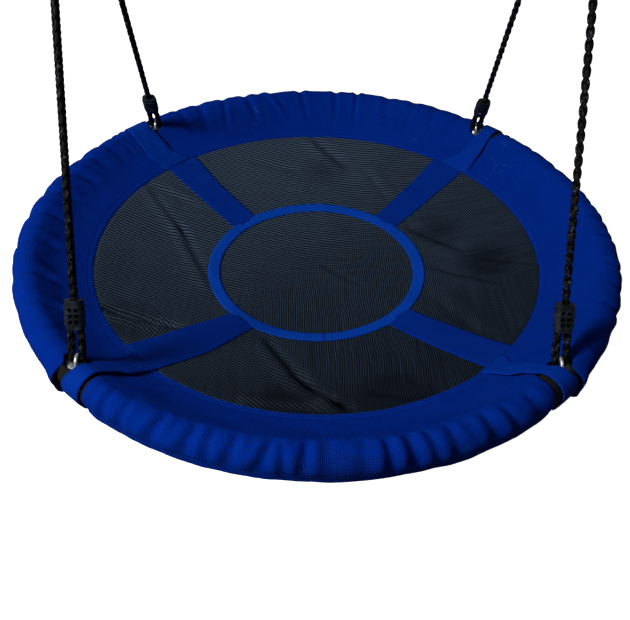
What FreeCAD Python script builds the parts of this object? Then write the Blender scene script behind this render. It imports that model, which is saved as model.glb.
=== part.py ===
import FreeCAD, Part
import math
import os

V = FreeCAD.Vector

# Sizes in millimetres. Heights are first counted from the middle of the seat's tube;
# the finished solids are moved so that the origin is the line the two snap hooks hang from.

# seat ring
SEAT_DIAMETER = 1000.0
PAD_RADIUS = 24.0
FOAM_RADIUS = 22.0
TUBE_RADIUS = 14.0
TUBE_WALL = 1.5
SPIGOT_PLAY = 0.1
SPIGOT_LENGTH = 36.0
SPIGOT_ROOT = 4.0
COLLAR_LENGTH = 12.0
RING_RADIUS = SEAT_DIAMETER / 2 - PAD_RADIUS

# joint screws of the frame
SCREW_RADIUS = 2.0
SCREW_HEAD_RADIUS = 4.0
SCREW_HEAD_HEIGHT = 2.2
SCREW_LENGTH = 6.0
SCREW_SHANK_SUNK = 0.5
SCREW_HOLE_PLAY = 0.1
SCREW_POCKET_PLAY = 0.5

# the cover's section: three circles with cloth stretched round them (radius, height, circle radius)
CLOTH = 2.0
EDGE_CIRCLE = (381.6, -36.2, 2.5)
HEM_CIRCLE = (480.0, -24.0, 9.0)
PAD_CIRCLE = (RING_RADIUS, 0.0, PAD_RADIUS)

# where the cover's quadrants end, measured along the tube from each rope eye
COVER_GAP_OPEN = 5.0
COVER_GAP_HIDDEN = 14.0
FLAP_START = 6.0
FLAP_END = 56.0
FLAP_INNER_START = 31.0
FLAP_THICKNESS = 1.8
FLAP_SHOULDER = 440.0
FLAP_TUCK = 40.0

# the dished mesh seat, a shallow part of a sphere
DISH_RADIUS = 379.0
DISH_EDGE_HEIGHT = -35.1
DISH_DEPTH = 63.7
MESH_THICKNESS = 1.5
SEAM_GAP = 1.2
WEBBING = 1.2
CENTRE_RING_INNER = 172.4
CENTRE_RING_OUTER = 192.9
STRAP_WIDTH = 60.0

# rope eyes welded on the tube
EYE_POSITION = 328.5
EYE_HEIGHT = 25.0
EYE_BEND = 9.5
EYE_WIRE = 2.5
EYE_LEG = 14.0
POCKET_X = 16.5
POCKET_Y = 15.0
POCKET_FLOOR = 8.0
POCKET_HEIGHT = 60.0

# ropes
ROPE = 5.0
ROPE_SLACK = 0.5
ROPE_SPREAD = 6.0
ROPE_BEND = 60.0
ROPE_CROSSING = 18.0
TAIL_HELD = 8.0
TAIL_LEAD = 30.0
LOOP_CORNERS = 4

# rope adjusters, measured along the rope from the eye
ADJUSTER_START = 38.0
ADJUSTER_LENGTH = 40.0
ADJUSTER_HALF_WIDTH = 14.0
ADJUSTER_HALF_DEPTH = 9.5
ADJUSTER_WALL = 2.4
ADJUSTER_CAP = 6.0
ADJUSTER_PLAY = 0.6
ADJUSTER_MOUTH = 12.0
ADJUSTER_SHOULDER = 5.0
RIB_COUNT = 4
RIB_DEPTH = 1.2
WINDOW_WIDTH = 5.2
WINDOW_HEIGHT = 5.0
WINDOW_COLUMNS = (-4.2, 4.2)
WINDOW_ROWS = (8.5, 17.0, 25.5)

# sleeves that close the ropes' top eyes, measured down the rope from the ring
SLEEVE_START = 48.0
SLEEVE_LENGTH = 24.0
SLEEVE_WALL = 3.0
SLEEVE_BORE_PLAY = 0.02
SLEEVE_FLOOR = 3.0
SLEEVE_LEAD = 16.0

# top rings and snap hooks
TOP_RING_HEIGHT = 740.0
TOP_RING_RADIUS = 26.0
TOP_RING_WIRE = 4.0
HOOK_WIRE = 5.0
HOOK_PLAY = 0.5
HOOK_SMALL_BEND = 14.0
HOOK_LARGE_BEND = 20.0
HOOK_CENTRES = 52.0
GATE_RADIUS = 4.2
GATE_LENGTH = 40.0
GATE_PLAY = 0.5
GATE_FOOT_PLAY = 2.4
TONGUE = 3.6
TONGUE_RADIUS = 3.2
TONGUE_PLAY = 0.2
TONGUE_SLOT = 14.0
TONGUE_SLOT_BELOW = 9.0
RIVET_OFFSET = 4.0
RIVET_RADIUS = 1.5
RIVET_PLAY = 0.06

HOOK_BOTTOM = TOP_RING_HEIGHT + TOP_RING_RADIUS - TOP_RING_WIRE - HOOK_PLAY - HOOK_WIRE
HANG_HEIGHT = HOOK_BOTTOM + HOOK_SMALL_BEND + HOOK_CENTRES + HOOK_LARGE_BEND - HOOK_WIRE

# corners: name, side (x), end (y), angle, and which way round the tube the flap lies
CORNERS = [
    ("front_left", -1, -1, 225.0, 1),
    ("front_right", 1, -1, 315.0, -1),
    ("rear_left", -1, 1, 135.0, 1),
    ("rear_right", 1, 1, 45.0, -1),
]


def along_tube(length):
    """The angle, in degrees, that a length along the seat's tube covers."""
    return math.degrees(length / RING_RADIUS)


def save(name, shape):
    shape = shape.copy()
    shape.translate(V(0, 0, -HANG_HEIGHT))
    shape.exportStep(os.path.join("parts", name + ".step"))


def belt_edges(circles):
    """Edges of a belt pulled round circles (x, y, radius) that are listed counter-clockwise."""
    normals = []
    for (x1, y1, r1), (x2, y2, r2) in zip(circles, circles[1:] + circles[:1]):
        along = math.atan2(y2 - y1, x2 - x1)
        normals.append(along - math.acos((r1 - r2) / math.hypot(x2 - x1, y2 - y1)))
    edges = []
    for i, (x, y, r) in enumerate(circles):
        start = normals[i - 1]
        turn = (normals[i] - start) % (2 * math.pi)
        arc = [V(x + r * math.cos(start + turn * k), 0, y + r * math.sin(start + turn * k))
               for k in (0, 0.5, 1)]
        edges.append(Part.Arc(*arc).toShape())
        x2, y2, r2 = circles[(i + 1) % len(circles)]
        out = V(math.cos(normals[i]), 0, math.sin(normals[i]))
        edges.append(Part.LineSegment(V(x, 0, y) + out * r, V(x2, 0, y2) + out * r2).toShape())
    return edges


def cover_section(grow):
    """Filled section of the cover, grown outwards by a distance."""
    circles = [(x, z, r + grow) for x, z, r in (EDGE_CIRCLE, HEM_CIRCLE, PAD_CIRCLE)]
    return Part.Face(Part.Wire(belt_edges(circles)))


def revolve(face, start, end):
    """Turn a section in the XZ plane about the vertical axis, from one angle to another."""
    turned = face.copy()
    turned.rotate(V(0, 0, 0), V(0, 0, 1), start)
    return turned.revolve(V(0, 0, 0), V(0, 0, 1), end - start)


def ring_section(outer, inner):
    """Section of the seat's tube or of its foam."""
    centre = V(RING_RADIUS, 0, 0)
    rings = [Part.Face(Part.Wire(Part.makeCircle(r, centre, V(0, 1, 0)))) for r in (outer, inner)]
    return rings[0].cut(rings[1])


def route(points, bends):
    """A wire through points, with a tangent arc of the given radius at each inner point, and its radii.

    A bend of None is as large as the shorter of the two runs that meet there allows.
    """
    edges = []
    radii = []
    last = points[0]
    for i in range(1, len(points) - 1):
        before = points[i - 1] - points[i]
        after = points[i + 1] - points[i]
        half_turn = (math.pi - before.getAngle(after)) / 2
        radius = bends[i - 1]
        if radius is None:
            radius = 0.45 * min(before.Length, after.Length) / math.tan(half_turn)
        radii.append(round(radius, 1))
        reach = radius * math.tan(half_turn)
        before.normalize()
        after.normalize()
        start = points[i] + before * reach
        end = points[i] + after * reach
        inward = before + after
        inward.normalize()
        middle = points[i] + inward * (radius / math.cos(half_turn) - radius)
        if (start - last).Length > 1e-6:
            edges.append(Part.LineSegment(last, start).toShape())
        edges.append(Part.Arc(start, middle, end).toShape())
        last = end
    if (points[-1] - last).Length > 1e-6:
        edges.append(Part.LineSegment(last, points[-1]).toShape())
    return Part.Wire(edges), radii


def sweep(wire, radius):
    """A round bar that follows a wire."""
    first = wire.Edges[0]
    start = first.valueAt(first.FirstParameter)
    direction = first.tangentAt(first.FirstParameter)
    profile = Part.Wire(Part.makeCircle(radius, start, direction))
    return Part.Solid(wire.makePipeShell([profile], True, True))


def rope_frame(side, end):
    """Where a rope's line starts, the way it runs, and its length up to the top ring's wire."""
    eye = V(side * EYE_POSITION, end * EYE_POSITION, EYE_HEIGHT)
    ring = V(side * EYE_POSITION, 0, TOP_RING_HEIGHT)
    line = ring - eye
    length = line.Length - TOP_RING_RADIUS
    return eye, line.normalize(), length


def loop_points(loop, height):
    """Corners of a rope's turn under a wire, from right to left.

    The turn has the loop's radius, and above it the strands close in to the rope's spread at a height.
    """
    reach = math.hypot(ROPE_SPREAD, height)
    tangent = math.atan2(ROPE_SPREAD, height) + math.acos(loop / reach)
    step = 2 * (math.pi - tangent) / LOOP_CORNERS
    far = loop / math.cos(step / 2)
    angles = [tangent + step * (i + 0.5) for i in range(LOOP_CORNERS)]
    return [(far * math.sin(angle), far * math.cos(angle)) for angle in angles]


def local_prism(outline, eye, line, low, high):
    """Extrude a face drawn in the XY plane along a rope's line, between two distances."""
    shape = outline.copy()
    tilt = FreeCAD.Rotation(V(0, 0, 1), line)
    shape.Placement = FreeCAD.Placement(eye + line * low, tilt)
    return shape.extrude(line * (high - low))


def stadium(half_width, half_depth, centre=0.0):
    """A face with straight long sides and round ends, long in X."""
    straight = half_width - half_depth
    if straight < 1e-6:
        return Part.Face(Part.Wire(Part.makeCircle(half_depth, V(centre, 0, 0))))
    right = centre + straight
    left = centre - straight
    edges = [
        Part.LineSegment(V(left, -half_depth, 0), V(right, -half_depth, 0)).toShape(),
        Part.Arc(V(right, -half_depth, 0), V(right + half_depth, 0, 0), V(right, half_depth, 0)).toShape(),
        Part.LineSegment(V(right, half_depth, 0), V(left, half_depth, 0)).toShape(),
        Part.Arc(V(left, half_depth, 0), V(left - half_depth, 0, 0), V(left, -half_depth, 0)).toShape(),
    ]
    return Part.Face(Part.Wire(edges))


def rectangle(x0, x1, y0, y1):
    corners = [V(x0, y0, 0), V(x1, y0, 0), V(x1, y1, 0), V(x0, y1, 0), V(x0, y0, 0)]
    return Part.Face(Part.makePolygon(corners))


def eye_pocket(side, end):
    """The space that foam, cover and flap leave free round a rope eye."""
    box = Part.makeBox(2 * POCKET_X, 2 * POCKET_Y, POCKET_HEIGHT)
    box.translate(V(side * EYE_POSITION - POCKET_X, end * EYE_POSITION - POCKET_Y, POCKET_FLOOR))
    return box


def screw_spots():
    """Where the frame's joint screws sit: just past each quarter of the ring."""
    for start in (0, 90, 180, 270):
        angle = math.radians(start + along_tube(SPIGOT_LENGTH / 2))
        yield V(RING_RADIUS * math.cos(angle), RING_RADIUS * math.sin(angle), -TUBE_RADIUS)


def make_frame():
    """Four quarter arcs of tube; each ends in a spigot that enters the next, held by a screw."""
    inner = TUBE_RADIUS - TUBE_WALL
    tube = ring_section(TUBE_RADIUS, inner)
    collar = ring_section(inner + TUBE_WALL / 2, inner - TUBE_WALL)
    spigot = ring_section(inner - SPIGOT_PLAY, inner - TUBE_WALL)
    hole_radius = SCREW_RADIUS + SCREW_HOLE_PLAY
    holes = [Part.makeCylinder(hole_radius, SCREW_LENGTH, spot - V(0, 0, 1)) for spot in screw_spots()]
    for name, _, _, angle, _ in CORNERS:
        start = angle - 45
        end = angle + 45
        arc = revolve(tube, start, end)
        arc = arc.fuse(revolve(collar, end - along_tube(COLLAR_LENGTH), end))
        arc = arc.fuse(revolve(spigot, end - along_tube(SPIGOT_ROOT), end + along_tube(SPIGOT_LENGTH)))
        arc = arc.cut(Part.Compound(holes)).removeSplitter()
        save("frame_arc_" + name, arc)
    screws = []
    for spot in screw_spots():
        shank = Part.makeCylinder(SCREW_RADIUS, SCREW_LENGTH, spot - V(0, 0, SCREW_SHANK_SUNK))
        head = Part.makeCylinder(SCREW_HEAD_RADIUS, SCREW_HEAD_HEIGHT, spot - V(0, 0, SCREW_HEAD_HEIGHT))
        screws.append(shank.fuse(head).removeSplitter())
    save("joint_screws", Part.Compound(screws))


def eye_rod(side, end):
    """A steel rod bent into a staple, in line with the ropes, with its legs down to the tube."""
    eye, line, _ = rope_frame(side, end)
    centre = eye - line * EYE_BEND
    across = line.cross(V(1, 0, 0)) * EYE_BEND
    top = line * EYE_BEND
    leg = line * EYE_LEG
    points = [centre + across - leg, centre + across + top, centre - across + top, centre - across - leg]
    path, _ = route(points, [EYE_BEND, EYE_BEND])
    return sweep(path, EYE_WIRE)


def make_eyes():
    """A bent rod welded on each corner of the ring, for a rope to pass through."""
    tube = Part.makeTorus(RING_RADIUS, TUBE_RADIUS)
    for name, side, end, _, _ in CORNERS:
        save("rope_eye_" + name, eye_rod(side, end).cut(tube))


def make_foam():
    """Foam sleeves, one to each quarter of the ring, cut away round the rope eye and the screws."""
    radius = SCREW_HEAD_RADIUS + SCREW_POCKET_PLAY
    depth = FOAM_RADIUS - TUBE_RADIUS + 2
    heads = [Part.makeCylinder(radius, depth + 1, spot - V(0, 0, depth)) for spot in screw_spots()]
    for name, side, end, angle, _ in CORNERS:
        sleeve = revolve(ring_section(FOAM_RADIUS, TUBE_RADIUS), angle - 45, angle + 45)
        sleeve = sleeve.cut(Part.Compound(heads)).cut(eye_pocket(side, end)).cut(eye_rod(side, end))
        save("foam_" + name, sleeve)


def make_covers():
    """Cloth sleeves over the foam, one from each rope eye to the next."""
    section = cover_section(0).cut(cover_section(-CLOTH))
    corners = {angle: (side, end, hand) for _, side, end, angle, hand in CORNERS}
    for name, middle in (("rear", 90.0), ("left", 180.0), ("front", 270.0), ("right", 0.0)):
        ends = []
        pockets = []
        for turn in (-45, 45):
            side, end, hand = corners[(middle + turn) % 360]
            into = -1 if turn > 0 else 1
            gap = COVER_GAP_HIDDEN if into == hand else COVER_GAP_OPEN
            ends.append(middle + turn + into * along_tube(gap))
            pockets.append(eye_pocket(side, end))
        save("cover_" + name, revolve(section, *ends).cut(Part.Compound(pockets)))


def make_flaps():
    """The end of each seat strap, laid over the cover and round the tube beside the rope eye."""
    shell = cover_section(FLAP_THICKNESS).cut(cover_section(0))
    edge_radius, edge_height, _ = EDGE_CIRCLE
    hem_radius, hem_height, _ = HEM_CIRCLE
    inside = edge_radius - FLAP_TUCK
    under = hem_height - FLAP_TUCK
    outline = [(inside, under), (inside, 0), (edge_radius, 0), (edge_radius, edge_height),
               (hem_radius, hem_height), (hem_radius, under), (inside, under)]
    section = shell.cut(Part.Face(Part.makePolygon([V(x, 0, z) for x, z in outline])))
    reach = 4 * PAD_RADIUS
    for name, side, end, angle, hand in CORNERS:
        limits = [angle - hand * along_tube(FLAP_INNER_START), angle + hand * along_tube(FLAP_END)]
        flap = revolve(section, min(limits), max(limits))
        beside = Part.makeBox(reach, reach, 2 * reach, V(FLAP_SHOULDER, -reach if hand > 0 else 0, -reach))
        beside.translate(V(0, hand * FLAP_START, 0))
        beside.rotate(V(0, 0, 0), V(0, 0, 1), angle)
        save("flap_" + name, flap.cut(beside.fuse(eye_pocket(side, end))))


def dish_layer(inner, outer, low, high):
    """Section of a layer of the dished seat, between two heights measured off the mesh's top face."""
    sphere = (DISH_RADIUS ** 2 + DISH_DEPTH ** 2) / (2 * DISH_DEPTH)
    centre = V(0, 0, DISH_EDGE_HEIGHT - DISH_DEPTH + sphere)

    def spot(radius, height):
        angle = math.asin(radius / sphere)
        return centre + V(math.sin(angle), 0, -math.cos(angle)) * (sphere - height)

    middle = (inner + outer) / 2
    edges = [
        Part.Arc(spot(inner, low), spot(middle, low), spot(outer, low)).toShape(),
        Part.LineSegment(spot(outer, low), spot(outer, high)).toShape(),
        Part.Arc(spot(outer, high), spot(middle, high), spot(inner, high)).toShape(),
        Part.LineSegment(spot(inner, high), spot(inner, low)).toShape(),
    ]
    return Part.Face(Part.Wire(edges))


def make_seat():
    """The mesh, the webbing ring in its middle and the four straps that run out to the corners."""
    save("seat_mesh", revolve(dish_layer(0, DISH_RADIUS - SEAM_GAP, -MESH_THICKNESS, 0), 0, 360))
    save("centre_ring", revolve(dish_layer(CENTRE_RING_INNER, CENTRE_RING_OUTER, 0, WEBBING * 1.5), 0, 360))
    layer = dish_layer(CENTRE_RING_OUTER, DISH_RADIUS - SEAM_GAP, 0, WEBBING)
    fan_angle = 2 * math.degrees(math.atan(STRAP_WIDTH / 2 / CENTRE_RING_OUTER))
    floor = DISH_EDGE_HEIGHT - 2 * DISH_DEPTH
    for name, _, _, angle, _ in CORNERS:
        fan = revolve(layer, -fan_angle, fan_angle)
        strip = Part.makeBox(DISH_RADIUS, STRAP_WIDTH, 2 * DISH_DEPTH, V(0, -STRAP_WIDTH / 2, floor))
        strap = fan.common(strip)
        strap.rotate(V(0, 0, 0), V(0, 0, 1), angle)
        save("strap_" + name, strap)


def make_ropes():
    """Each rope goes round its eye, up through its adjuster, and round the top ring."""
    for name, side, end, _, _ in CORNERS:
        eye, line, length = rope_frame(side, end)
        mouth = ADJUSTER_START + ADJUSTER_MOUTH
        throat = length - SLEEVE_START + SLEEVE_FLOOR
        sleeve_low = length - SLEEVE_START - SLEEVE_LENGTH
        tail = sleeve_low - SLEEVE_LEAD
        low_loop = EYE_WIRE + ROPE_SLACK + ROPE
        high_loop = TOP_RING_WIRE + ROPE_SLACK + ROPE
        low_turn = loop_points(low_loop, mouth)
        high_turn = loop_points(high_loop, length - throat)
        steps = [
            (-ROPE_SPREAD, mouth + TAIL_HELD),
            (-ROPE_SPREAD, mouth),
            *reversed(low_turn),
            (ROPE_SPREAD, mouth),
            (0, mouth + ROPE_CROSSING),
            (0, tail - TAIL_LEAD),
            (ROPE_SPREAD, tail),
            (ROPE_SPREAD, throat),
            *((a, length - b) for a, b in high_turn),
            (-ROPE_SPREAD, throat),
            (-ROPE_SPREAD, sleeve_low + SLEEVE_FLOOR),
        ]
        low_bends = [ROPE_BEND, *[low_loop] * LOOP_CORNERS, ROPE_BEND]
        high_bends = [ROPE_BEND, *[high_loop] * LOOP_CORNERS, ROPE_BEND]
        points = [eye + V(a, 0, 0) + line * b for a, b in steps]
        path, radii = route(points, low_bends + [None, None, None] + high_bends)
        rope = sweep(path, ROPE)
        print("rope", name, "length", round(path.Length, 1), "bend radii", radii,
              "volume share", round(rope.Volume / (math.pi * ROPE ** 2 * path.Length), 4))
        save("rope_" + name, rope)


def make_eye_sleeves():
    """Moulded sleeves that close the ropes' top eyes; the rope's tail ends inside, above a floor."""
    bore = ROPE + SLEEVE_BORE_PLAY
    for name, side, end, _, _ in CORNERS:
        eye, line, length = rope_frame(side, end)
        low = length - SLEEVE_START - SLEEVE_LENGTH
        high = low + SLEEVE_LENGTH
        outline = stadium(ROPE_SPREAD + ROPE + SLEEVE_WALL, ROPE + SLEEVE_WALL)
        sleeve = local_prism(outline, eye, line, low, high)
        for spread, start in ((ROPE_SPREAD, low), (-ROPE_SPREAD, low + SLEEVE_FLOOR)):
            sleeve = sleeve.cut(local_prism(stadium(bore, bore, spread), eye, line, start, high))
        save("eye_sleeve_" + name, sleeve)


def make_adjusters():
    """Hollow moulded barrels with windows on the broad faces and ribs round the narrow ends."""
    rib = stadium(ADJUSTER_HALF_WIDTH, ADJUSTER_HALF_DEPTH)
    core = stadium(ADJUSTER_HALF_WIDTH - RIB_DEPTH, ADJUSTER_HALF_DEPTH - RIB_DEPTH)
    inner = stadium(ADJUSTER_HALF_WIDTH - ADJUSTER_WALL, ROPE + ADJUSTER_PLAY)
    hole = stadium(ROPE + ADJUSTER_PLAY, ROPE + ADJUSTER_PLAY)
    top = ADJUSTER_START + ADJUSTER_LENGTH
    step = (ADJUSTER_LENGTH - 2 * ADJUSTER_SHOULDER) / RIB_COUNT
    for name, side, end, _, _ in CORNERS:
        eye, line, _ = rope_frame(side, end)
        body = local_prism(core, eye, line, ADJUSTER_START, top)
        for i in range(RIB_COUNT):
            low = ADJUSTER_START + ADJUSTER_SHOULDER + i * step
            body = body.fuse(local_prism(rib, eye, line, low + 0.2 * step, low + 0.8 * step))
        body = body.cut(local_prism(inner, eye, line, ADJUSTER_START, top - ADJUSTER_CAP))
        body = body.cut(local_prism(hole, eye, line, top - ADJUSTER_CAP, top))
        for column in WINDOW_COLUMNS:
            left = column - WINDOW_WIDTH / 2
            window = rectangle(left, left + WINDOW_WIDTH, -2 * ADJUSTER_HALF_DEPTH, 2 * ADJUSTER_HALF_DEPTH)
            for row in WINDOW_ROWS:
                low = ADJUSTER_START + row
                body = body.cut(local_prism(window, eye, line, low, low + WINDOW_HEIGHT))
        save("adjuster_" + name, body)


def hook_wire():
    """Centre line of a snap hook, in the XZ plane, with its gate on the inner side."""
    small = (0.0, HOOK_BOTTOM + HOOK_SMALL_BEND, HOOK_SMALL_BEND)
    large = (0.0, HOOK_BOTTOM + HOOK_SMALL_BEND + HOOK_CENTRES, HOOK_LARGE_BEND)
    return belt_edges([small, large])


def cross_pin(spot, radius):
    """A pin in Y through a spot, longer than the hook's wire is thick."""
    return Part.makeCylinder(radius, 4 * HOOK_WIRE, V(spot.x, -2 * HOOK_WIRE, spot.z), V(0, 1, 0))


def make_hooks():
    """Snap hooks, drawn with the gate towards +X at X = 0 and then placed left and right."""
    edges = hook_wire()
    gate_line = edges[1]
    low_end = gate_line.valueAt(gate_line.FirstParameter)
    high_end = gate_line.valueAt(gate_line.LastParameter)
    up = high_end - low_end
    spare = (up.Length - GATE_LENGTH) / 2
    up.normalize()
    tilt = FreeCAD.Rotation(V(0, 0, 1), up)
    pivot = low_end + up * spare
    rivet_spot = pivot - up * RIVET_OFFSET

    loop = sweep(Part.Wire(Part.__sortEdges__(edges)), HOOK_WIRE)
    opening = Part.makeCylinder(HOOK_WIRE + 1, GATE_LENGTH, pivot, up)
    slot_half = TONGUE / 2 + TONGUE_PLAY
    slot_corner = V(pivot.x - 3 * HOOK_WIRE, -slot_half, pivot.z - TONGUE_SLOT_BELOW)
    slot = Part.makeBox(6 * HOOK_WIRE, 2 * slot_half, TONGUE_SLOT, slot_corner)
    body = loop.cut(Part.Compound([opening, slot, cross_pin(rivet_spot, RIVET_RADIUS)]))

    wire_core = Part.makeCylinder(HOOK_WIRE, 4 * RIVET_OFFSET, rivet_spot - up * 2 * RIVET_OFFSET, up)
    rivet = cross_pin(rivet_spot, RIVET_RADIUS).common(wire_core)

    rod_length = GATE_LENGTH - GATE_PLAY - GATE_FOOT_PLAY
    rod = Part.makeCylinder(GATE_RADIUS, rod_length, pivot + up * GATE_FOOT_PLAY, up)
    tongue_corner = V(rivet_spot.x, -TONGUE / 2, rivet_spot.z)
    tongue = Part.makeCylinder(TONGUE_RADIUS, TONGUE, tongue_corner, V(0, 1, 0))
    neck = Part.makeBox(2 * TONGUE_RADIUS, TONGUE, 2 * RIVET_OFFSET, V(-TONGUE_RADIUS, -TONGUE / 2, 0))
    neck.Placement = FreeCAD.Placement(rivet_spot, tilt).multiply(neck.Placement)
    gate = rod.fuse([tongue, neck]).cut(cross_pin(rivet_spot, RIVET_RADIUS + RIVET_PLAY)).removeSplitter()

    rivets = []
    for word, side in (("left", -1), ("right", 1)):
        pieces = [shape.copy() for shape in (body, gate, rivet)]
        for shape in pieces:
            if side > 0:
                shape.rotate(V(0, 0, 0), V(0, 0, 1), 180)
            shape.translate(V(side * EYE_POSITION, 0, 0))
        save("snap_hook_" + word, pieces[0])
        save("hook_gate_" + word, pieces[1])
        rivets.append(pieces[2])
    save("gate_rivets", Part.Compound(rivets))


def make_top_rings():
    for word, side in (("left", -1), ("right", 1)):
        centre = V(side * EYE_POSITION, 0, TOP_RING_HEIGHT)
        save("top_ring_" + word, Part.makeTorus(TOP_RING_RADIUS, TOP_RING_WIRE, centre, V(1, 0, 0)))


os.makedirs("parts", exist_ok=True)
make_frame()
make_eyes()
make_foam()
make_covers()
make_flaps()
make_seat()
make_ropes()
make_eye_sleeves()
make_adjusters()
make_hooks()
make_top_rings()
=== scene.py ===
import bisect
import math

import bmesh
import bpy
from mathutils import Matrix, Vector, noise


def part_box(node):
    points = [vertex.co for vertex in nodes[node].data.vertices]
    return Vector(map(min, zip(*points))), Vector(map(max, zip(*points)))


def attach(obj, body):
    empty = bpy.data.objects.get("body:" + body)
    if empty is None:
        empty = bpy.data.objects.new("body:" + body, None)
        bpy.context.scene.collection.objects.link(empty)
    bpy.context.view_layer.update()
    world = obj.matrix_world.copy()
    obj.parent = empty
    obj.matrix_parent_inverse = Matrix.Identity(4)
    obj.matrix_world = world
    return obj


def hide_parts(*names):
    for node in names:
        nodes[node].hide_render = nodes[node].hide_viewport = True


# Looks of the saucer nest swing. Lengths are in metres; the seat ring's sizes are those of its model.

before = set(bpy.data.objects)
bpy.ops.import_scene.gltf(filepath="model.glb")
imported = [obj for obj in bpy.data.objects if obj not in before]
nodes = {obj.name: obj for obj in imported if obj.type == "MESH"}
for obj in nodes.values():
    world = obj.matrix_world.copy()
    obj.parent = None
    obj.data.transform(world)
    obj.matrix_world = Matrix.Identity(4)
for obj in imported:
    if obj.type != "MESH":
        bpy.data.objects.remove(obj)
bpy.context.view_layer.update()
scene = bpy.context.scene

tube_low, tube_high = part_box("frame_arc_front_left")
SEAT_Z = (tube_low.z + tube_high.z) / 2
RING_R = 0.476
PAD_R = 0.024
FOAM_R = 0.022
EYE_XY = 0.3285
EYE_Z = SEAT_Z + 0.025
DISH_R = 0.379
DISH_EDGE_Z = SEAT_Z - 0.0351
DISH_DEPTH = 0.0637
DISH_SPHERE = (DISH_R ** 2 + DISH_DEPTH ** 2) / (2 * DISH_DEPTH)

# corners: side (x), end (y), angle in degrees, and which way round the tube the flap lies
CORNERS = {
    "front_left": (-1, -1, 225.0, 1),
    "front_right": (1, -1, 315.0, -1),
    "rear_left": (-1, 1, 135.0, 1),
    "rear_right": (1, 1, 45.0, -1),
}


# ---------------------------------------------------------------- small helpers

def smooth(t):
    t = min(1.0, max(0.0, t))
    return t * t * (3 - 2 * t)


def bump(t):
    return math.exp(-t * t)


def arch(t):
    """Up from 0 and back to 0 as t goes from 0 to 1."""
    return math.sin(math.pi * min(1.0, max(0.0, t)))


def arc_degrees(length):
    """The angle that a length along the seat's tube covers."""
    return math.degrees(length / RING_R)


def make_object(name, verts, faces, uvs=None):
    """A mesh object; uvs gives one pair for each vertex."""
    mesh = bpy.data.meshes.new(name)
    mesh.from_pydata([tuple(v) for v in verts], [], faces)
    if uvs:
        layer = mesh.uv_layers.new(name="UVMap")
        for loop in mesh.loops:
            layer.data[loop.index].uv = uvs[loop.vertex_index]
    mesh.update()
    mesh.polygons.foreach_set("use_smooth", [True] * len(mesh.polygons))
    piece = bpy.data.objects.new(name, mesh)
    scene.collection.objects.link(piece)
    return piece


def grid_faces(rows, columns, wrap=False):
    """Quads of a grid whose vertices run along the columns; wrap joins the last column to the first."""
    faces = []
    for i in range(rows - 1):
        here, there = i * columns, (i + 1) * columns
        for j in range(columns if wrap else columns - 1):
            k = (j + 1) % columns
            faces.append((here + j, here + k, there + k, there + j))
    return faces


def weld_seam(piece):
    """Join the first and last rows, which lie in the same place."""
    work = bmesh.new()
    work.from_mesh(piece.data)
    bmesh.ops.remove_doubles(work, verts=work.verts, dist=0.00002)
    bmesh.ops.recalc_face_normals(work, faces=work.faces)
    work.to_mesh(piece.data)
    work.free()


def thicken(piece, thickness, even=True):
    """Give a piece's cloth its thickness, inwards from its face, as real geometry."""
    modifier = piece.modifiers.new("thickness", "SOLIDIFY")
    modifier.thickness = thickness
    modifier.offset = -1.0
    modifier.use_even_offset = even
    graph = bpy.context.evaluated_depsgraph_get()
    mesh = bpy.data.meshes.new_from_object(piece.evaluated_get(graph))
    piece.modifiers.clear()
    piece.data = mesh
    mesh.polygons.foreach_set("use_smooth", [True] * len(mesh.polygons))


def spots_object(name, spots, rows, columns):
    """A mesh object from a grid of (place, outward direction, UV)."""
    verts, _, uvs = zip(*spots)
    return make_object(name, verts, grid_faces(rows, columns), uvs)


def tube_mesh(path, normals, radius, sides):
    """Vertices and faces of a round bar along a path, with a normal at each point."""
    verts = []
    count = len(path)
    for i, point in enumerate(path):
        ahead = path[min(i + 1, count - 1)] - path[max(i - 1, 0)]
        across = ahead.cross(normals[i]).normalized()
        up = across.cross(ahead).normalized()
        for j in range(sides):
            angle = 2 * math.pi * j / sides
            verts.append(point + (across * math.cos(angle) + up * math.sin(angle)) * radius)
    faces = grid_faces(count, sides, wrap=True)
    faces.append(tuple(reversed(range(sides))))
    faces.append(tuple(range((count - 1) * sides, count * sides)))
    return verts, faces


def add_part(verts, faces, more_verts, more_faces):
    start = len(verts)
    verts.extend(more_verts)
    faces.extend(tuple(i + start for i in face) for face in more_faces)


# ---------------------------------------------------------------- materials

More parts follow.
